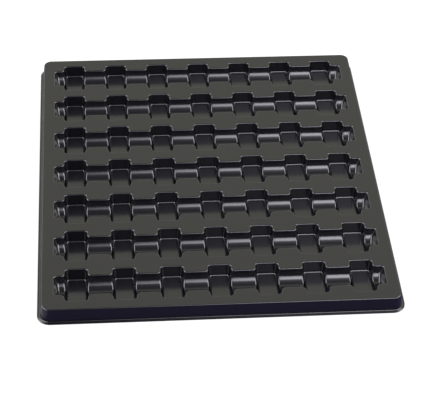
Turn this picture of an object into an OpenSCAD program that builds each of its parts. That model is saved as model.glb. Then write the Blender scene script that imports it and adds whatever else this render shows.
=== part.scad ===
// Thermoformed turnover tray: one sheet with rows of deep pockets joined by round channels.
// X runs along the rows, Z is up, and the tray stands on its rim with the origin in the middle below it.

/* [Layout] */
// Number of pockets in a row
columns = 7; // [2:1:8]
// Number of rows
rows = 7; // [2:1:8]
// Distance between pocket centres along a row
column_pitch = 46; // [38:0.5:60]
// Distance between the centre lines of two rows
row_pitch = 54.6; // [50:0.2:70]
// From the centre of an end pocket to the edge of the deck, along the rows
end_margin = 33.3; // [30:0.1:50]
// From the centre line of an outer row to the edge of the deck
side_margin = 32.8; // [28:0.1:50]

/* [Sheet] */
// Height of the deck above the surface that the tray stands on
tray_h = 15.5; // [15:0.1:24]
// Thickness of the sheet
sheet = 1.1; // [0.6:0.1:1.4]

/* [Skirt] */
// Lean of the skirt from the vertical
skirt_draft = 6.5; // [1:0.5:15]
// Radius of the deck's corners in plan
deck_corner_r = 8; // [6:0.5:14]
// Radius of the rolled edge between deck and skirt
edge_r = 2; // [1.5:0.1:3]
// Width of the flat lip that turns out at the foot of the skirt
lip_w = 2.6; // [1.5:0.1:6]

/* [Pockets] */
// Length of a pocket's mouth along the row
pocket_x = 22; // [16:0.5:26]
// Length of a pocket's mouth across the row
pocket_y = 42.2; // [34:0.2:46]
// Depth of a pocket below the deck
pocket_depth = 13.2; // [12.8:0.1:13.5]
// Radius of a pocket's corners in plan, at the mouth
pocket_corner_r = 3; // [2.5:0.1:5]
// Lean of a pocket's walls from the vertical
pocket_draft = 5; // [2:0.5:8]

/* [Channels] */
// Radius of the round channels
channel_r = 12.3; // [9:0.1:12.6]
// Height of the channels' axis above the deck, which gives their rims a little draft
channel_rise = 0.8; // [0:0.1:2]
// From the mouth of an end pocket to the outer edge of the recess beyond it
recess_x = 10.6; // [8:0.2:14]
// Lean of the recess's end wall from the vertical
recess_draft = 20; // [5:1:30]

/* [Hidden] */
$fn = 64;

// what a cut runs past the face that it opens
past = 1;
deck_x = (columns - 1) * column_pitch + 2 * end_margin;
deck_y = (rows - 1) * row_pitch + 2 * side_margin;
deck_under = tray_h - sheet;
skirt_run = tray_h * tan(skirt_draft);
// level inside the deck where the forms below it begin
form_top = tray_h - sheet / 2;
channel_axis_z = tray_h + channel_rise;
row_half = (columns - 1) / 2 * column_pitch + pocket_x / 2 + recess_x;
first_x = -(columns - 1) / 2 * column_pitch;
first_y = -(rows - 1) / 2 * row_pitch;

// Sizes that are worked out are held to a thousandth, so that faces which meet have the same corners
function exact(size) = round(size * 1000) / 1000;

// A block that narrows downwards: size at the deck's level, corners rounded in plan, from top to bottom.
// The corner radius shrinks with the walls, so each corner is a quarter of an upright cone tangent to both.
module drafted_block(size_x, size_y, corner_r, draft, top, bottom) {
    inner_x = exact(size_x / 2 - corner_r);
    inner_y = exact(size_y / 2 - corner_r);
    top_r = exact(corner_r + (top - tray_h) * tan(draft));
    bottom_r = exact(corner_r - (tray_h - bottom) * tan(draft));
    // walls across X
    rotate([90, 0, 0])
        linear_extrude(2 * inner_y, center = true)
            drafted_section(inner_x + top_r, inner_x + bottom_r, top, bottom);
    // walls across Y
    rotate([90, 0, 90])
        linear_extrude(2 * inner_x, center = true)
            drafted_section(inner_y + top_r, inner_y + bottom_r, top, bottom);
    for (side_x = [0, 1], side_y = [0, 1])
        mirror([side_x, 0, 0])
            mirror([0, side_y, 0])
                translate([inner_x, inner_y, 0])
                    rotate_extrude(angle = 90)
                        polygon([[0, bottom], [bottom_r, bottom], [top_r, top], [0, top]]);
}

// An upright section that is narrower at the bottom, given by its half widths
module drafted_section(half_top, half_bottom, top, bottom) {
    polygon([[-half_top, top], [half_top, top], [half_bottom, bottom], [-half_bottom, bottom]]);
}

// One row's channel and end recesses: a trough along X whose ends lean inwards to the bottom
module trough(radius, half_x, top) {
    lean = tan(recess_draft);
    low = channel_axis_z - radius - past;
    intersection() {
        translate([0, 0, channel_axis_z])
            rotate([0, 90, 0])
                cylinder(h = 2 * half_x + 2 * past, r = radius, center = true);
        rotate([90, 0, 0])
            linear_extrude(2 * radius + 2 * past, center = true)
                drafted_section(half_x + (top - tray_h) * lean, half_x - (tray_h - low) * lean, top, low);
    }
}

// Pockets and trough of one row, grown by the sheet for the outside and not grown for the hollow
module row_form(grow, top) {
    wall_grow = exact(grow / cos(pocket_draft));
    end_grow = grow / cos(recess_draft);
    trough(channel_r + grow, row_half + end_grow, top);
    for (column = [0 : columns - 1])
        translate([first_x + column * column_pitch, 0, 0])
            drafted_block(pocket_x + 2 * wall_grow, pocket_y + 2 * wall_grow, pocket_corner_r + wall_grow,
                pocket_draft, top, exact(tray_h - pocket_depth - grow));
}

// Section through the rolled edge, skirt and lip; X is the distance from the corner's centre
module rim_section() {
    foot = deck_corner_r + skirt_run;
    lean = tan(skirt_draft);
    wall = sheet / cos(skirt_draft);
    roll_x = deck_corner_r + edge_r * lean - edge_r / cos(skirt_draft);
    difference() {
        union() {
            // skirt, with its inner face level with the deck's underside
            polygon([[deck_corner_r, tray_h], [foot, 0], [foot - wall, 0], [deck_corner_r - wall, tray_h]]);
            // the deck's edge
            translate([roll_x - past, deck_under])
                square([deck_corner_r - roll_x + past, sheet]);
            // lip
            translate([foot - wall, 0])
                square([wall + lip_w, sheet]);
        }
        // what lies outside the rolled edge
        difference() {
            polygon([[roll_x, tray_h - edge_r], [roll_x, tray_h + past], [foot, tray_h + past],
                     [roll_x + edge_r * cos(skirt_draft), tray_h - edge_r + edge_r * sin(skirt_draft)]]);
            translate([roll_x, tray_h - edge_r])
                circle(edge_r);
        }
    }
}

// Rim all round the deck
module rim() {
    straight_x = deck_x - 2 * deck_corner_r;
    straight_y = deck_y - 2 * deck_corner_r;
    for (turn = [0 : 3]) {
        side = turn % 2 == 0 ? straight_y : straight_x;
        reach = turn % 2 == 0 ? straight_x : straight_y;
        rotate([0, 0, 90 * turn])
            translate([reach / 2, side / 2, 0])
                rotate([90, 0, 0])
                    linear_extrude(side)
                        rim_section();
        rotate([0, 0, 90 * turn])
            translate([reach / 2, side / 2, 0])
                rotate_extrude(angle = 90)
                    rim_section();
    }
}

// Flat deck inside the rim
module deck() {
    roll = edge_r / cos(skirt_draft) - edge_r * tan(skirt_draft);
    corner_r = deck_corner_r - roll;
    size_x = deck_x - 2 * roll;
    size_y = deck_y - 2 * roll;
    translate([0, 0, deck_under])
        linear_extrude(sheet) {
            square([size_x - 2 * corner_r, size_y], center = true);
            square([size_x, size_y - 2 * corner_r], center = true);
            for (side_x = [-1, 1], side_y = [-1, 1])
                translate([side_x * (size_x / 2 - corner_r), side_y * (size_y / 2 - corner_r)])
                    circle(corner_r);
        }
}

module tray() {
    color("#1c1c24")
        difference() {
            union() {
                rim();
                deck();
                for (row = [0 : rows - 1])
                    translate([0, first_y + row * row_pitch, 0])
                        row_form(sheet, form_top);
            }
            for (row = [0 : rows - 1])
                translate([0, first_y + row * row_pitch, 0])
                    row_form(0, tray_h + past);
        }
}

tray();
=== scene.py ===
"""A thermoformed turnover tray: one sheet of black plastic with rows of drafted pockets and round channels.
Lengths are in metres. X runs along the rows, Y away from the camera, and the tray stands on its rim."""

import math

import bmesh
import bpy
from bpy.props import FloatProperty, FloatVectorProperty, IntProperty, PointerProperty
from mathutils import Matrix, Vector


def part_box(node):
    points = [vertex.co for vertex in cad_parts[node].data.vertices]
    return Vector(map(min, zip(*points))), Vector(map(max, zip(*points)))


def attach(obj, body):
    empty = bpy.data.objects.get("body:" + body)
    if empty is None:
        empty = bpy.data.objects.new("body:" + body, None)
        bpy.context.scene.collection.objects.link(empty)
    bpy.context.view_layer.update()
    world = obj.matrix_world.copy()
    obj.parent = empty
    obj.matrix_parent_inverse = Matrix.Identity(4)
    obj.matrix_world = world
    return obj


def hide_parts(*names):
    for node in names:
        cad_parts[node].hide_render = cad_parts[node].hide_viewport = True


bl_info = {
    "name": "Thermoformed Tray",
    "version": (1, 0, 0),
    "blender": (4, 5, 0),
    "location": "View3D > Sidebar > Tray",
    "description": "Builds a formed turnover tray with drafted pockets joined by round channels",
    "category": "Object",
}

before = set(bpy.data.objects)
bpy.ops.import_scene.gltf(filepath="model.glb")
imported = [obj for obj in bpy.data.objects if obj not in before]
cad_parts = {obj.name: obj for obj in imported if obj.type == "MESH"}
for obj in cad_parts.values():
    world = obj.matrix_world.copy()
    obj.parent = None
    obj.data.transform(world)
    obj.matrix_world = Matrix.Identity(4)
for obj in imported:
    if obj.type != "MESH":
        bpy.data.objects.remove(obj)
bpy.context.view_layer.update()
SHEET_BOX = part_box("tray")

# steps along each rounded form
CORNER_STEPS = 5
CHANNEL_STEPS = 24
FILLET_STEPS = 4
RIM_CORNER_STEPS = 10
ROLL_STEPS = 5
# length of a channel's first step at each rim, in mouth fillets, so that the fillet has room beside it
RIM_STEP = 1.4
# decimals to which two corners of a cell are the same point
POINT_DIGITS = 7
# vertices closer than this are one
WELD = 2e-5
# shading that follows the large faces: the modifier's weight, and how near two weights count as equal
FLAT_WEIGHT = 80
FLAT_THRESHOLD = 1e-5


# ---------------------------------------------------------------- sizes

class TraySizes(bpy.types.PropertyGroup):
    """Sizes of the formed sheet, as in the solid model"""

    columns: IntProperty(name="Columns", description="Pockets in a row", default=7, min=3)
    rows: IntProperty(name="Rows", description="Rows of pockets", default=7, min=2)
    column_pitch: FloatProperty(
        name="Column pitch", description="Between pocket centres along a row",
        default=0.046, subtype="DISTANCE")
    row_pitch: FloatProperty(
        name="Row pitch", description="Between the centre lines of rows",
        default=0.0546, subtype="DISTANCE")
    deck_height: FloatProperty(
        name="Deck height", description="Top of the deck above the floor",
        default=SHEET_BOX[1].z, subtype="DISTANCE")
    sheet: FloatProperty(
        name="Sheet", description="Thickness of the sheet",
        default=0.0011, subtype="DISTANCE")
    end_margin: FloatProperty(
        name="End margin", description="End pocket's centre to the deck's edge",
        default=0.0333, subtype="DISTANCE")
    side_margin: FloatProperty(
        name="Side margin", description="Outer row's centre line to the deck's edge",
        default=0.0328, subtype="DISTANCE")
    deck_corner: FloatProperty(
        name="Deck corner", description="Radius of the deck's corners",
        default=0.008, subtype="DISTANCE")
    edge_roll: FloatProperty(
        name="Edge roll", description="Radius between deck and skirt",
        default=0.0012, subtype="DISTANCE")
    skirt_draft: FloatProperty(
        name="Skirt draft", description="Lean of the skirt",
        default=math.radians(6.5), subtype="ANGLE")
    lip: FloatProperty(
        name="Lip", description="Width of the lip at the skirt's foot",
        default=0.0026, subtype="DISTANCE")
    foot_fillet: FloatProperty(
        name="Foot fillet", description="Radius between skirt and lip",
        default=0.0012, subtype="DISTANCE")
    pocket_x: FloatProperty(
        name="Pocket along row", description="Mouth length along the row",
        default=0.022, subtype="DISTANCE")
    pocket_y: FloatProperty(
        name="Pocket across row", description="Mouth length across the row",
        default=0.0422, subtype="DISTANCE")
    pocket_depth: FloatProperty(
        name="Pocket depth", description="Floor below the deck",
        default=0.0132, subtype="DISTANCE")
    pocket_corner: FloatProperty(
        name="Pocket corner", description="Radius of a mouth's corners",
        default=0.003, subtype="DISTANCE")
    floor_corner: FloatProperty(
        name="Floor corner", description="Radius of a pocket floor's corners",
        default=0.0026, subtype="DISTANCE")
    pocket_draft: FloatProperty(
        name="Pocket draft", description="Lean of a pocket's walls",
        default=math.radians(5), subtype="ANGLE")
    channel_radius: FloatProperty(
        name="Channel radius", description="Radius of the round channels",
        default=0.0123, subtype="DISTANCE")
    channel_rise: FloatProperty(
        name="Channel rise", description="Channel axis above the deck",
        default=0.0008, subtype="DISTANCE")
    recess_reach: FloatProperty(
        name="Recess reach", description="End pocket's mouth to the recess's outer edge",
        default=0.0106, subtype="DISTANCE")
    recess_draft: FloatProperty(
        name="Recess draft", description="Lean of the recess's end wall",
        default=math.radians(20), subtype="ANGLE")
    mouth_fillet: FloatProperty(
        name="Mouth fillet", description="Radius at the mouths' edges",
        default=0.0012, subtype="DISTANCE")
    floor_fillet: FloatProperty(
        name="Floor fillet", description="Radius at the pockets' floors",
        default=0.0022, subtype="DISTANCE")
    sill_fillet: FloatProperty(
        name="Sill fillet", description="Radius where a channel's bottom meets a pocket",
        default=0.002, subtype="DISTANCE")
    back_shoulder: FloatProperty(
        name="Back shoulder", description="Radius where a channel's back rim meets a pocket",
        default=0.003, subtype="DISTANCE")
    front_shoulder: FloatProperty(
        name="Front shoulder", description="Radius where a channel's front rim meets a pocket",
        default=0.005, subtype="DISTANCE")
    recess_fillet: FloatProperty(
        name="Recess fillet", description="Radius at the foot of a recess's end wall",
        default=0.0026, subtype="DISTANCE")


class SheetFinish(bpy.types.PropertyGroup):
    """Look of the moulded sheet"""

    colour: FloatVectorProperty(
        name="Colour", description="Colour of the plastic", subtype="COLOR", size=3, min=0, max=1,
        default=(0.0034, 0.0033, 0.0044))
    roughness: FloatProperty(
        name="Roughness", description="Roughness of the formed surface", default=0.18, min=0, max=1)
    bow: FloatProperty(
        name="Bow", description="Lift of the sheet's front and back edges that shows in its reflections",
        default=0.003, subtype="DISTANCE")
    floor_lean: FloatProperty(
        name="Floor lean", description="Lean of the pockets' floors that shows in their reflections",
        default=math.radians(3.2), subtype="ANGLE")


class StageSettings(bpy.types.PropertyGroup):
    """The camera's view of the tray"""

    azimuth: FloatProperty(
        name="Azimuth", description="Turn of the view to the right of the rows' normal",
        default=math.radians(5.69), subtype="ANGLE")
    elevation: FloatProperty(
        name="Elevation", description="Height of the camera above the deck's plane",
        default=math.radians(41.2), subtype="ANGLE")
    roll: FloatProperty(
        name="Roll", description="Turn of the camera about its own axis",
        default=math.radians(2.06), subtype="ANGLE")
    distance: FloatProperty(
        name="Distance", description="Camera to the point that it aims at",
        default=1.5875, subtype="DISTANCE")
    lens: FloatProperty(name="Lens", description="Focal length", default=127.8, unit="CAMERA")


# ---------------------------------------------------------------- objects and meshes

def add_object(name, data):
    """A new object in the scene"""
    thing = bpy.data.objects.new(name, data)
    bpy.context.scene.collection.objects.link(thing)
    return thing


def add_card(name, half_width, half_height):
    """A flat rectangle about the origin"""
    mesh = bpy.data.meshes.new(name)
    corners = [(-half_width, -half_height, 0), (half_width, -half_height, 0),
               (half_width, half_height, 0), (-half_width, half_height, 0)]
    mesh.from_pydata(corners, [], [(0, 1, 2, 3)])
    return add_object(name, mesh)


def as_mesh(thing):
    """The object's shape with its modifiers, as a plain mesh"""
    depsgraph = bpy.context.evaluated_depsgraph_get()
    return bpy.data.meshes.new_from_object(thing.evaluated_get(depsgraph))


def face_up(surface):
    """Turns all faces of an open surface to its upper side"""
    bmesh.ops.recalc_face_normals(surface, faces=surface.faces)
    surface.normal_update()
    if sum(face.normal.z * face.calc_area() for face in surface.faces) < 0:
        bmesh.ops.reverse_faces(surface, faces=surface.faces)


def arc(centre_x, centre_y, radius, start, end, steps):
    """Points of a circle in plan from one angle to another, both ends included"""
    turn = (end - start) / steps
    return [(centre_x + radius * math.cos(start + turn * i), centre_y + radius * math.sin(start + turn * i))
            for i in range(steps + 1)]


def quarter_turns():
    """Angles of the steps round a fillet"""
    return [math.pi / 2 * i / FILLET_STEPS for i in range(FILLET_STEPS + 1)]


def mirrored(points, along_x=False, along_y=False):
    """The points on the other side, in the opposite order when one direction is mirrored"""
    flip_x = -1 if along_x else 1
    flip_y = -1 if along_y else 1
    flipped = [(flip_x * x, flip_y * y, z) for x, y, z in points]
    return flipped[::-1] if along_x != along_y else flipped


# ---------------------------------------------------------------- cells of the sheet

class SheetMesh:
    """A surface with sharp edges that know how far they are to be rounded"""

    def __init__(self, unit_fillet):
        """unit_fillet is the fillet of an edge with a weight of 1"""
        self.bm = bmesh.new()
        self.weight = self.bm.edges.layers.float.new("bevel_weight_edge")
        self.unit_fillet = unit_fillet
        self.known = {}

    def vert(self, point):
        """The vertex at a point, made once"""
        key = tuple(round(value, POINT_DIGITS) for value in point)
        if key not in self.known:
            self.known[key] = self.bm.verts.new(point)
        return self.known[key]

    def face(self, points):
        """A face round the points, without those that fall together"""
        verts = []
        for point in points:
            vert = self.vert(point)
            if not verts or vert is not verts[-1]:
                verts.append(vert)
        if verts[0] is verts[-1]:
            verts.pop()
        return self.bm.faces.new(verts)

    def strip(self, first, second):
        """Faces between two chains of points"""
        for i in range(len(first) - 1):
            self.face([first[i], first[i + 1], second[i + 1], second[i]])

    def grid(self, rows):
        """Faces between neighbouring rows of points"""
        for first, second in zip(rows, rows[1:]):
            self.strip(first, second)

    def soften(self, points, fillet):
        """Rounds the edges along a chain of points"""
        for start, end in zip(points, points[1:]):
            first = self.vert(start)
            second = self.vert(end)
            if first is not second:
                self.bm.edges.get((first, second))[self.weight] = fillet / self.unit_fillet

    def finish(self, name):
        """An object with the rounded surface, facing up"""
        mesh = bpy.data.meshes.new(name)
        face_up(self.bm)
        self.bm.to_mesh(mesh)
        self.bm.free()
        cell = add_object(name, mesh)
        bevel = cell.modifiers.new("Fillets", "BEVEL")
        bevel.limit_method = "WEIGHT"
        bevel.offset_type = "OFFSET"
        bevel.width = self.unit_fillet
        bevel.segments = FILLET_STEPS
        bevel.use_clamp_overlap = False
        bevel.miter_outer = "MITER_SHARP"
        rounded = as_mesh(cell)
        cell.modifiers.clear()
        cell.data = rounded
        bpy.data.meshes.remove(mesh)
        return cell


class CellForm:
    """Where the faces of one pocket and the troughs beside it meet; heights are from the deck's top.
    Stations go across a trough from its back rim to its front rim, by their angle about the trough's axis."""

    def __init__(self, sizes):
        self.sizes = sizes
        self.lean = math.tan(sizes.pocket_draft)
        self.mouth_x = sizes.pocket_x / 2
        mouth_y = sizes.pocket_y / 2
        narrower = sizes.pocket_depth * self.lean
        self.mouth = self.corner(self.mouth_x, mouth_y, sizes.pocket_corner, 0.0)
        self.floor = self.corner(
            self.mouth_x - narrower, mouth_y - narrower, sizes.floor_corner, -sizes.pocket_depth)
        half_angle = math.acos(sizes.channel_rise / sizes.channel_radius)
        inner = half_angle - RIM_STEP * sizes.mouth_fillet / sizes.channel_radius
        # one step at each rim has its own length, and the others are alike
        steps = CHANNEL_STEPS - 2
        self.stations = [half_angle, *(inner * (1 - 2 * i / steps) for i in range(steps + 1)), -half_angle]

    @staticmethod
    def corner(half_x, half_y, radius, z):
        """A pocket's outline at one height, round its back right corner"""
        return [(x, y, z) for x, y in
                arc(half_x - radius, half_y - radius, radius, 0, math.pi / 2, CORNER_STEPS)]

    def place(self, x, radius, station):
        """A point by its distance from the trough's axis, moved in with the pocket's leaning wall;
        the rims lie on the deck"""
        rim = abs(station) == self.stations[0]
        z = 0.0 if rim else min(0.0, self.sizes.channel_rise - radius * math.cos(station))
        return (x + z * self.lean, radius * math.sin(station), z)

    def across(self, x):
        """Points across the trough at one place along it"""
        places = (self.place(0, self.sizes.channel_radius, station) for station in self.stations)
        return [(x, y, z) for _, y, z in places]

    def lip(self):
        """Rows of points that round the edge between a trough and the pocket's wall, wider at the rims"""
        sizes = self.sizes
        rows = []
        for station in self.stations:
            # from 0 at the trough's bottom to 1 at its rims
            rise = (1 - math.cos(station)) / (1 - math.cos(self.stations[0]))
            shoulder = sizes.back_shoulder if station > 0 else sizes.front_shoulder
            radius = sizes.sill_fillet + (shoulder - sizes.sill_fillet) * rise
            rows.append([
                self.place(self.mouth_x + radius * (1 - math.sin(turn)),
                           sizes.channel_radius + radius * (1 - math.cos(turn)), station)
                for turn in quarter_turns()])
        return rows

    def recess_end(self):
        """Rows of points that round the foot of the left recess's leaning end wall, from the trough up it"""
        sizes = self.sizes
        rows = []
        slope = math.tan(sizes.recess_draft)
        radius = sizes.recess_fillet
        for station in self.stations:
            # where the wall's plane meets the trough, and the wall's lean as seen across the trough's side
            foot = self.mouth_x + sizes.recess_reach
            foot -= (sizes.channel_radius * math.cos(station) - sizes.channel_rise) * slope
            lean = math.atan(slope * math.cos(station))
            centre = foot - radius * math.tan((math.pi / 2 - lean) / 2)
            row = []
            for turn in quarter_turns():
                # the leaning wall is reached before a quarter turn
                turn *= 1 - lean / (math.pi / 2)
                along = centre + radius * math.sin(turn)
                _, y, z = self.place(0, sizes.channel_radius - radius * (1 - math.cos(turn)), station)
                row.append((-along, y, z))
            rows.append(row)
        return rows


def add_pocket(surface, form):
    """The pocket's floor and its front and back walls; returns the mouth's back and front edges"""
    mouth_back = form.mouth + mirrored(form.mouth, along_x=True)
    floor_back = form.floor + mirrored(form.floor, along_x=True)
    mouth_front = mirrored(mouth_back, along_y=True)
    floor_front = mirrored(floor_back, along_y=True)
    surface.strip(mouth_back, floor_back)
    surface.strip(mouth_front, floor_front)
    surface.face(floor_back + floor_front)
    surface.soften(floor_back + floor_front + floor_back[:1], form.sizes.floor_fillet)
    return mouth_back, mouth_front


def add_side(surface, lip, form, side):
    """The pocket's right (1) or left (-1) wall, cut by a trough, and the lip between them"""
    back = [(side * x, y, z) for x, y, z in (form.floor[0], form.mouth[0])]
    front = [(x, -y, z) for x, y, z in reversed(back)]
    surface.face(back + [row[-1] for row in lip] + front)
    surface.grid(lip)


def add_deck(surface, sizes, back, front, with_recess):
    """The deck round the back and front edges of the openings, out to the cell's border"""
    half_x, half_y = sizes.column_pitch / 2, sizes.row_pitch / 2
    if with_recess:
        # the cell ends inside the rim's outline, by the edge roll's radius twice
        outer = -(sizes.end_margin - edge_inset(sizes) - 2 * sizes.edge_roll)
        surface.face(back + front + [(half_x, -half_y, 0.0), (outer, -half_y, 0.0),
                                     (outer, half_y, 0.0), (half_x, half_y, 0.0)])
        surface.soften(back + front, sizes.mouth_fillet)
    else:
        surface.face(back + [(-half_x, half_y, 0.0), (half_x, half_y, 0.0)])
        surface.face(front + [(half_x, -half_y, 0.0), (-half_x, -half_y, 0.0)])
        surface.soften(back, sizes.mouth_fillet)
        surface.soften(front, sizes.mouth_fillet)


def make_cell(name, sizes, with_recess):
    """One pocket with half a channel on each side, or with an end recess on its left"""
    form = CellForm(sizes)
    surface = SheetMesh(sizes.mouth_fillet)
    mouth_back, mouth_front = add_pocket(surface, form)

    right = form.lip()
    left = [[(-x, y, z) for x, y, z in row] for row in right]
    add_side(surface, right, form, 1)
    add_side(surface, left, form, -1)

    half_x = sizes.column_pitch / 2
    right_end = form.across(half_x)
    left_end = form.recess_end() if with_recess else [[point] for point in form.across(-half_x)]
    surface.strip([row[0] for row in right], right_end)
    surface.strip([row[0] for row in left], [row[0] for row in left_end])
    if with_recess:
        surface.grid(left_end)
        surface.face([row[-1] for row in left_end])

    back = [right_end[0]] + right[0] + mouth_back + left[0][::-1] + left_end[0]
    front = left_end[-1][::-1] + left[-1] + mouth_front + right[-1][::-1] + [right_end[-1]]
    add_deck(surface, sizes, back, front, with_recess)
    return surface.finish(name)


# ---------------------------------------------------------------- rim

def edge_inset(sizes):
    """How far inside the deck's edge the rolled edge begins"""
    return sizes.edge_roll / math.cos(sizes.skirt_draft) - sizes.edge_roll * math.tan(sizes.skirt_draft)


def make_rim_section(name, sizes):
    """Section of the rim as a curve: X outwards from where the roll begins, Y down from the deck's top"""
    draft = sizes.skirt_draft
    roll, fillet = sizes.edge_roll, sizes.foot_fillet
    inset = edge_inset(sizes)
    # the lip's upper face is one sheet above the tray's foot
    foot_y = -sizes.deck_height + sizes.sheet
    foot_x = inset - foot_y * math.tan(draft)
    centre_x = foot_x + fillet / math.cos(draft) - fillet * math.tan(draft)
    points = [(x, y - roll) for x, y in arc(0, 0, roll, math.pi / 2, draft, ROLL_STEPS)]
    points += arc(centre_x, foot_y + fillet, fillet, math.pi + draft, 1.5 * math.pi, ROLL_STEPS)
    points.append((inset + sizes.deck_height * math.tan(draft) + sizes.lip, foot_y))
    curve = bpy.data.curves.new(name, "CURVE")
    curve.dimensions = "3D"
    spline = curve.splines.new("POLY")
    spline.points.add(len(points) - 1)
    for spot, (x, y) in zip(spline.points, points):
        spot.co = (x, -y, 0, 1)
    return add_object(name, curve)


# ---------------------------------------------------------------- node helpers

class Value:
    """A node's output that can be used in arithmetic"""

    def __init__(self, graph, socket):
        self.graph = graph
        self.socket = socket

    def maths(self, operation, *others):
        """The result of a mathematical operation on this value"""
        return self.graph.add("ShaderNodeMath", dict(enumerate((self, *others))), operation=operation)

    def __add__(self, other):
        return self.maths("ADD", other)

    __radd__ = __add__

    def __mul__(self, other):
        return self.maths("MULTIPLY", other)

    __rmul__ = __mul__

    def __sub__(self, other):
        return self.maths("SUBTRACT", other)

    def __rsub__(self, other):
        return (self * -1) + other

    def ramp(self, start, end):
        """Rises smoothly from 0 to 1 while this value goes from start to end"""
        return self.graph.add("ShaderNodeMapRange", {"Value": self, "From Min": start, "From Max": end},
                              interpolation_type="SMOOTHSTEP")


class Graph:
    """Adds nodes to a tree"""

    def __init__(self, tree):
        self.tree = tree

    def add(self, kind, inputs=None, output=0, **settings):
        """One output of a new node, from the node's inputs, which are numbers or values, and its settings"""
        node = self.tree.nodes.new(kind)
        for name, setting in settings.items():
            setattr(node, name, setting)
        for name, value in (inputs or {}).items():
            socket = node.inputs[name]
            if isinstance(value, Value):
                self.tree.links.new(value.socket, socket)
            else:
                socket.default_value = value
        return Value(self, node.outputs[output]) if node.outputs else None

    def parts(self, vector):
        """The X, Y and Z of a vector"""
        node = self.add("ShaderNodeSeparateXYZ", {0: vector}).socket.node
        return [Value(self, output) for output in node.outputs]

    def vector(self, x=0.0, y=0.0, z=0.0):
        """A vector from its X, Y and Z"""
        return self.add("ShaderNodeCombineXYZ", {"X": x, "Y": y, "Z": z})

    def join(self, *parts):
        """Several geometries as one"""
        node = self.tree.nodes.new("GeometryNodeJoinGeometry")
        for part in parts:
            self.tree.links.new(part.socket, node.inputs[0])
        return Value(self, node.outputs[0])

    def shape(self, thing):
        """The geometry of an object"""
        return self.add("GeometryNodeObjectInfo", {"Object": thing}, output="Geometry",
                        transform_space="ORIGINAL")

    def welded(self, geometry):
        """The geometry with vertices in one place made one"""
        return self.add("GeometryNodeMergeByDistance", {"Geometry": geometry, "Distance": WELD})


def shader_graph(owner):
    """The cleared nodes of a material or world"""
    owner.use_nodes = True
    owner.node_tree.nodes.clear()
    return Graph(owner.node_tree)


# ---------------------------------------------------------------- sheet assembled by geometry nodes

SHEET_INPUTS = (
    ("Middle cell", "NodeSocketObject"),
    ("End cell", "NodeSocketObject"),
    ("Rim section", "NodeSocketObject"),
    ("Columns", "NodeSocketInt"),
    ("Rows", "NodeSocketInt"),
    ("Column pitch", "NodeSocketFloat"),
    ("Row pitch", "NodeSocketFloat"),
    ("Rim length", "NodeSocketFloat"),
    ("Rim width", "NodeSocketFloat"),
    ("Rim corner", "NodeSocketFloat"),
    ("Deck height", "NodeSocketFloat"),
    ("Material", "NodeSocketMaterial"),
)


def lay_out_cells(graph, given):
    """End cells on the left, the same mirrored on the right, and middle cells between them"""
    first_x = (given["Columns"] - 1) * given["Column pitch"] * -0.5
    first_y = (given["Rows"] - 1) * given["Row pitch"] * -0.5
    end_points = graph.add("GeometryNodeMeshLine", {
        "Count": given["Rows"], "Start Location": graph.vector(first_x, first_y),
        "Offset": graph.vector(0.0, given["Row pitch"])}, mode="OFFSET")
    left = graph.add("GeometryNodeInstanceOnPoints", {
        "Points": end_points, "Instance": graph.shape(given["End cell"])})
    right = graph.add("GeometryNodeTransform", {"Geometry": left, "Scale": (-1, 1, 1)})
    # the middle columns are all but the two outer ones
    middle_points = graph.add("GeometryNodeMeshGrid", {
        "Size X": (given["Columns"] - 3) * given["Column pitch"],
        "Size Y": (given["Rows"] - 1) * given["Row pitch"],
        "Vertices X": given["Columns"] - 2, "Vertices Y": given["Rows"]})
    middle = graph.add("GeometryNodeInstanceOnPoints", {
        "Points": middle_points, "Instance": graph.shape(given["Middle cell"])})
    cells = graph.add("GeometryNodeRealizeInstances", {"Geometry": graph.join(left, middle, right)})
    return graph.welded(cells)


def rim_outline(graph, given):
    """The line in plan where the deck ends and the rolled edge begins"""
    outline = graph.add("GeometryNodeCurvePrimitiveQuadrilateral", {
        "Width": given["Rim length"], "Height": given["Rim width"]}, mode="RECTANGLE")
    return graph.add("GeometryNodeFilletCurve", {
        "Curve": outline, "Count": RIM_CORNER_STEPS - 1, "Radius": given["Rim corner"]}, mode="POLY")


def close_deck(graph, field, outline):
    """The deck between the outer cells and the rim"""
    # a border edge has one face; the comparison's whole numbers are its inputs 2 and 3
    neighbours = graph.add("GeometryNodeInputMeshEdgeNeighbors")
    at_edge = graph.add("FunctionNodeCompare", {2: neighbours, 3: 1}, data_type="INT", operation="EQUAL")
    field_edge = graph.add("GeometryNodeMeshToCurve", {"Mesh": field, "Selection": at_edge})
    return graph.add("GeometryNodeFillCurve", {"Curve": graph.join(field_edge, outline)}, mode="TRIANGLES")


def sweep_rim(graph, given, outline):
    """Rolled edge, skirt and lip, swept round the deck"""
    path = graph.add("GeometryNodeSetCurveNormal", {"Curve": outline}, mode="Z_UP")
    return graph.add("GeometryNodeCurveToMesh", {
        "Curve": path, "Profile Curve": graph.shape(given["Rim section"])})


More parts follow.
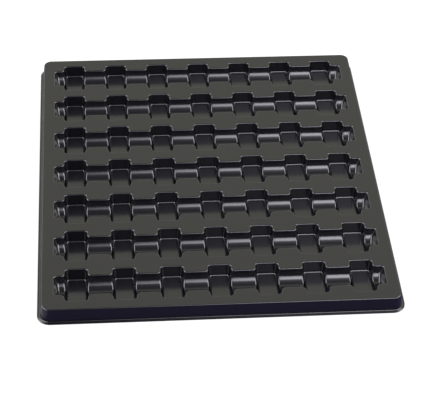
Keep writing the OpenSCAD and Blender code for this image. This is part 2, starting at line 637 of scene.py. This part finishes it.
def make_sheet_tree():
    """Geometry nodes that set out the cells in rows, close the deck round them and sweep the rim"""
    tree = bpy.data.node_groups.new("Formed sheet", "GeometryNodeTree")
    tree.is_modifier = True
    tree.interface.new_socket(name="Geometry", in_out="OUTPUT", socket_type="NodeSocketGeometry")
    for name, kind in SHEET_INPUTS:
        tree.interface.new_socket(name=name, in_out="INPUT", socket_type=kind)
    graph = Graph(tree)
    group = tree.nodes.new("NodeGroupInput")
    given = {name: Value(graph, group.outputs[name]) for name, _ in SHEET_INPUTS}

    field = lay_out_cells(graph, given)
    outline = rim_outline(graph, given)
    border = close_deck(graph, field, outline)
    rim = sweep_rim(graph, given, outline)
    whole = graph.welded(graph.join(field, border, rim))
    raised = graph.add("GeometryNodeTransform", {
        "Geometry": whole, "Translation": graph.vector(0.0, 0.0, given["Deck height"])})
    smooth = graph.add("GeometryNodeSetShadeSmooth", {"Geometry": raised})
    real = graph.add("GeometryNodeRealizeInstances", {"Geometry": smooth})
    finished = graph.add("GeometryNodeSetMaterial", {"Geometry": real, "Material": given["Material"]})
    graph.add("NodeGroupOutput", {0: finished})
    return tree


def set_input(modifier, name, value):
    """Sets a geometry nodes input by its identifier"""
    for item in modifier.node_group.interface.items_tree:
        if item.name == name and item.in_out == "INPUT":
            modifier[item.identifier] = value
            return
    raise KeyError(name)


def make_surface(name, sizes, material):
    """The sheet's upper surface as one mesh, from its cells and rim"""
    middle = make_cell("middle_cell", sizes, with_recess=False)
    end = make_cell("end_cell", sizes, with_recess=True)
    section = make_rim_section("rim_section", sizes)
    inset = edge_inset(sizes)
    length = (sizes.columns - 1) * sizes.column_pitch + 2 * (sizes.end_margin - inset)
    width = (sizes.rows - 1) * sizes.row_pitch + 2 * (sizes.side_margin - inset)
    host = add_object(name, bpy.data.meshes.new("blank"))
    nodes = host.modifiers.new("Formed sheet", "NODES")
    nodes.node_group = make_sheet_tree()
    for label, value in (
            ("Middle cell", middle), ("End cell", end), ("Rim section", section),
            ("Columns", sizes.columns), ("Rows", sizes.rows),
            ("Column pitch", sizes.column_pitch), ("Row pitch", sizes.row_pitch),
            ("Rim length", length), ("Rim width", width), ("Rim corner", sizes.deck_corner - inset),
            ("Deck height", sizes.deck_height), ("Material", material)):
        set_input(nodes, label, value)
    surface = as_mesh(host)
    host.modifiers.clear()
    host.data = surface
    surface.name = name
    for helper in (middle, end, section):
        bpy.data.objects.remove(helper)
    if not surface.polygons:
        raise RuntimeError("the sheet came out empty")
    return host


def face_mesh_up(mesh):
    """Turns all faces of a mesh to its upper side"""
    surface = bmesh.new()
    surface.from_mesh(mesh)
    face_up(surface)
    surface.to_mesh(mesh)
    surface.free()


def thicken(host, sheet):
    """Gives the surface the sheet's thickness below it, and even shading on its flat faces"""
    wall = host.modifiers.new("Sheet thickness", "SOLIDIFY")
    wall.thickness = sheet
    wall.offset = -1
    wall.use_even_offset = True
    normals = host.modifiers.new("Flat faces stay flat", "WEIGHTED_NORMAL")
    normals.weight = FLAT_WEIGHT
    normals.thresh = FLAT_THRESHOLD
    normals.keep_sharp = True


# ---------------------------------------------------------------- finish of the sheet

# unevenness left by forming: broad clouds and a fine grain
NOISE_MIDDLE = 0.5
CLOUD = {"Scale": 22.0, "Detail": 3.0}
CLOUD_ROUGHNESS = 0.10
CLOUD_LIGHTER = 1.25
CLOUD_RELIEF = {"Strength": 0.08, "Distance": 0.0006}
GRAIN = {"Scale": 900.0, "Detail": 2.0}
GRAIN_ROUGHNESS = 0.05
GRAIN_RELIEF = {"Strength": 0.05, "Distance": 0.00005}
PLASTIC_IOR = 1.5
# height above a pocket's floor at which its lean begins to fade into the fillet
LEAN_FADE = 0.0003


def make_sheet_material(finish, sizes):
    """Black plastic with a faint unevenness from forming"""
    material = bpy.data.materials.new("black_sheet")
    graph = shader_graph(material)
    place = graph.add("ShaderNodeTexCoord", output="Object")
    cloud = graph.add("ShaderNodeTexNoise", {"Vector": place, **CLOUD})
    grain = graph.add("ShaderNodeTexNoise", {"Vector": place, **GRAIN})
    roughness = ((cloud - NOISE_MIDDLE) * CLOUD_ROUGHNESS + (grain - NOISE_MIDDLE) * GRAIN_ROUGHNESS
                 + finish.roughness)
    lighter = [channel * CLOUD_LIGHTER for channel in finish.colour]
    # the mixing node's colours are its inputs 6 and 7 and its output 2
    colour = graph.add("ShaderNodeMix", {0: cloud, 6: (*finish.colour, 1), 7: (*lighter, 1)}, output=2,
                       data_type="RGBA")
    leaning = add_lean(graph, place, finish, sizes)
    waves = graph.add("ShaderNodeBump", {**CLOUD_RELIEF, "Height": cloud, "Normal": leaning})
    bump = graph.add("ShaderNodeBump", {**GRAIN_RELIEF, "Height": grain, "Normal": waves})
    plastic = graph.add("ShaderNodeBsdfPrincipled", {
        "Base Color": colour, "Roughness": roughness, "IOR": PLASTIC_IOR, "Normal": bump})
    graph.add("ShaderNodeOutputMaterial", {"Surface": plastic})
    return material


def add_lean(graph, place, finish, sizes):
    """The surface's direction with the sheet's slight bow and the leaning floors of its pockets"""
    surface = graph.add("ShaderNodeNewGeometry", output="Normal")
    _, forward, height = graph.parts(place)
    floor_height = sizes.deck_height - sizes.pocket_depth
    at_floor = 1 - height.ramp(floor_height + LEAN_FADE, floor_height + sizes.floor_fillet)
    half_width = sizes.rows * sizes.row_pitch / 2
    slope = forward * (-2 * finish.bow / half_width ** 2) + at_floor * math.tan(finish.floor_lean)
    total = graph.add("ShaderNodeVectorMath", {0: surface, 1: graph.vector(y=slope)}, operation="ADD")
    return graph.add("ShaderNodeVectorMath", {0: total}, operation="NORMALIZE")


# ---------------------------------------------------------------- stage

WHITE = (1, 1, 1, 1)

FLOOR_REACH = 4.0
# to the eye the floor is white, with a little of a matt floor that takes shadows
FLOOR_MATT = (0.8, 0.8, 0.8, 1)
FLOOR_MATT_SHARE = 0.12
# in reflections it is dim and bluish, and glows to the left of the tray
FLOOR_DIM = (0.055, 0.048, 0.108, 1)
FLOOR_GLOW = 0.4
FLOOR_GLOW_BLUR = 0.005

# The room goes by the direction seen: X to the right, Y away from the camera, Z up.
# A pair of numbers is where a ramp over one of them starts and ends.
ROOM_COLOUR = (1.0, 0.985, 1.06, 1)
ROOM_LEAST = 0.03
# warm wall behind the tray, dimmer towards the ceiling
BEHIND = (-0.5, 0.1)
WALL_COLOUR = (1.0, 0.995, 0.82, 1)
WALL_TOP = (0.72, 0.95)
WALL_STRENGTH = 0.84
WALL_LEAST = 0.08
# brighter foot of that wall
HORIZON_TOP = (0.0, 0.5)
HORIZON_STRENGTH = 0.9
# glow overhead, which grows towards the front and the right
OVERHEAD_EDGE = (0.72, 0.86)
OVERHEAD_FADE = -4.2
OVERHEAD_RIGHT = (0.0, 0.17)
OVERHEAD_STRENGTH = 0.52
OVERHEAD_LEAST = 0.02
# windows high up at both sides, of which the right one ends before the wall behind
WINDOW_STRENGTH = 10.5
WINDOW_SILL = (0.53, 0.63)
WINDOW_HEAD = (0.78, 0.88)
LEFT_WINDOW_EDGE = (0.3, 0.5)
RIGHT_WINDOW_EDGE = (0.38, 0.55)
RIGHT_WINDOW_END = (0.3, 0.55)

# the key light's turn to the right of straight in front of the tray, its height and its distance
KEY_AZIMUTH = math.radians(17)
KEY_ELEVATION = math.radians(49.5)
KEY_DISTANCE = 1.7
KEY_HALF_WIDTH = 0.55
KEY_HALF_HEIGHT = 0.37
KEY_COLOUR = (1.0, 0.985, 1.08, 1)
KEY_STRENGTH = 10.0

CAMERA_AIM = Vector((0.0085, -0.0479, SHEET_BOX[1].z))
# width of the camera's sensor in millimetres
CAMERA_SENSOR = 36.0
CAMERA_REACH = 20


def direction(azimuth, elevation):
    """From the tray towards a place, by its angle to the right of straight in front and its height"""
    return Vector((math.sin(azimuth) * math.cos(elevation), -math.cos(azimuth) * math.cos(elevation),
                   math.sin(elevation)))


def make_floor():
    """A white floor to the eye, and a dim bluish one in reflections"""
    floor = add_card("floor", FLOOR_REACH, FLOOR_REACH)
    material = bpy.data.materials.new("pale_floor")
    graph = shader_graph(material)
    seen = graph.add("ShaderNodeLightPath", output="Is Camera Ray")
    white = graph.add("ShaderNodeEmission", {"Color": WHITE, "Strength": 1.0})
    matt = graph.add("ShaderNodeBsdfDiffuse", {"Color": FLOOR_MATT})
    dark = graph.add("ShaderNodeBsdfDiffuse", {"Color": FLOOR_DIM})
    across, _, _ = graph.parts(graph.add("ShaderNodeTexCoord", output="Object"))
    left_edge = SHEET_BOX[0].x
    beside = 1 - across.ramp(left_edge - FLOOR_GLOW_BLUR, left_edge + FLOOR_GLOW_BLUR)
    glow = graph.add("ShaderNodeEmission", {"Color": WHITE, "Strength": beside * FLOOR_GLOW})
    dim = graph.add("ShaderNodeAddShader", {0: dark, 1: glow})
    pale = graph.add("ShaderNodeMixShader", {0: FLOOR_MATT_SHARE, 1: white, 2: matt})
    both = graph.add("ShaderNodeMixShader", {0: seen, 1: dim, 2: pale})
    graph.add("ShaderNodeOutputMaterial", {"Surface": both})
    floor.data.materials.append(material)


def make_world(scene):
    """A room with a pale wall behind the tray, windows at both sides and a glow overhead from the front;
    the eye sees it white"""
    world = bpy.data.worlds.new("studio")
    graph = shader_graph(world)
    across, forward, height = graph.parts(graph.add("ShaderNodeTexCoord", output="Generated"))
    behind = forward.ramp(*BEHIND)
    wall = behind * ((1 - height.ramp(*WALL_TOP)) * WALL_STRENGTH + WALL_LEAST)
    horizon = behind * (1 - height.ramp(*HORIZON_TOP)) * HORIZON_STRENGTH
    fade = (forward * OVERHEAD_FADE).maths("EXPONENT")
    glow = fade * (across.ramp(*OVERHEAD_RIGHT) * OVERHEAD_STRENGTH + OVERHEAD_LEAST)
    overhead = height.ramp(*OVERHEAD_EDGE) * glow + ROOM_LEAST
    right = across.ramp(*RIGHT_WINDOW_EDGE) * (1 - forward.ramp(*RIGHT_WINDOW_END)) * WINDOW_STRENGTH
    left = (across * -1).ramp(*LEFT_WINDOW_EDGE) * WINDOW_STRENGTH
    windows = (right + left) * height.ramp(*WINDOW_SILL) * (1 - height.ramp(*WINDOW_HEAD))
    warm = graph.add("ShaderNodeBackground", {"Color": WALL_COLOUR, "Strength": wall})
    cool = graph.add("ShaderNodeBackground", {
        "Color": ROOM_COLOUR, "Strength": horizon + overhead + windows})
    room = graph.add("ShaderNodeAddShader", {0: warm, 1: cool})
    seen = graph.add("ShaderNodeLightPath", output="Is Camera Ray")
    white = graph.add("ShaderNodeBackground", {"Color": WHITE, "Strength": 1.0})
    both = graph.add("ShaderNodeMixShader", {0: seen, 1: room, 2: white})
    graph.add("ShaderNodeOutputWorld", {"Surface": both})
    scene.world = world


def make_key_light():
    """A large window-like light in front and to the right, dimmer towards its left edge"""
    card = add_card("key_light", KEY_HALF_WIDTH, KEY_HALF_HEIGHT)
    place = KEY_DISTANCE * direction(KEY_AZIMUTH, KEY_ELEVATION)
    card.matrix_world = Matrix.Translation(place) @ place.to_track_quat("Z", "Y").to_matrix().to_4x4()
    material = bpy.data.materials.new("key_light")
    graph = shader_graph(material)
    across, _, _ = graph.parts(graph.add("ShaderNodeTexCoord", output="Object"))
    strength = graph.add("ShaderNodeMapRange", {
        "Value": across, "From Min": -KEY_HALF_WIDTH, "From Max": 0.0, "To Min": 0.0, "To Max": KEY_STRENGTH})
    glow = graph.add("ShaderNodeEmission", {"Color": KEY_COLOUR, "Strength": strength})
    graph.add("ShaderNodeOutputMaterial", {"Surface": glow})
    card.data.materials.append(material)


def make_camera(scene):
    """The camera in front of the tray, looking down at it and a little to the right"""
    stage = scene.tray_stage
    away = direction(-stage.azimuth, stage.elevation)
    data = bpy.data.cameras.new("camera")
    data.lens = stage.lens
    data.sensor_width = CAMERA_SENSOR
    data.sensor_fit = "HORIZONTAL"
    data.clip_end = CAMERA_REACH
    camera = add_object("camera", data)
    camera.matrix_world = (Matrix.Translation(CAMERA_AIM + away * stage.distance)
                           @ away.to_track_quat("Z", "Y").to_matrix().to_4x4()
                           @ Matrix.Rotation(stage.roll, 4, "Z"))
    scene.camera = camera


# ---------------------------------------------------------------- operators, panel and registration

class TRAY_OT_sheet(bpy.types.Operator):
    """Builds the formed sheet in place of the plain solid"""

    bl_idname = "tray.sheet"
    bl_label = "Formed sheet"

    def execute(self, context):
        sizes = context.scene.tray_sizes
        material = make_sheet_material(context.scene.sheet_finish, sizes)
        host = make_surface("tray_sheet", sizes, material)
        face_mesh_up(host.data)
        thicken(host, sizes.sheet)
        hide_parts("tray")
        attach(host, "root")
        return {"FINISHED"}


class TRAY_OT_stage(bpy.types.Operator):
    """Sets the floor, world, light and camera"""

    bl_idname = "tray.stage"
    bl_label = "Stage"

    def execute(self, context):
        make_floor()
        make_world(context.scene)
        make_key_light()
        make_camera(context.scene)
        context.scene.view_settings.view_transform = "Standard"
        return {"FINISHED"}


class TRAY_PT_panel(bpy.types.Panel):
    """Lists the tray's builders"""

    bl_idname = "TRAY_PT_panel"
    bl_label = "Tray"
    bl_space_type = "VIEW_3D"
    bl_region_type = "UI"
    bl_category = "Tray"

    def draw(self, context):
        for operator in (TRAY_OT_sheet, TRAY_OT_stage):
            self.layout.operator(operator.bl_idname)


CLASSES = (TraySizes, SheetFinish, StageSettings, TRAY_OT_sheet, TRAY_OT_stage, TRAY_PT_panel)


def register():
    """Adds the classes and the scene's settings"""
    for item in CLASSES:
        bpy.utils.register_class(item)
    bpy.types.Scene.tray_sizes = PointerProperty(type=TraySizes)
    bpy.types.Scene.sheet_finish = PointerProperty(type=SheetFinish)
    bpy.types.Scene.tray_stage = PointerProperty(type=StageSettings)


def unregister():
    """Takes away what register adds"""
    del bpy.types.Scene.tray_stage
    del bpy.types.Scene.sheet_finish
    del bpy.types.Scene.tray_sizes
    for item in reversed(CLASSES):
        bpy.utils.unregister_class(item)


def main():
    """Builds the stage and the sheet"""
    register()
    bpy.ops.tray.stage()
    bpy.ops.tray.sheet()


if __name__ == "__main__":
    main()
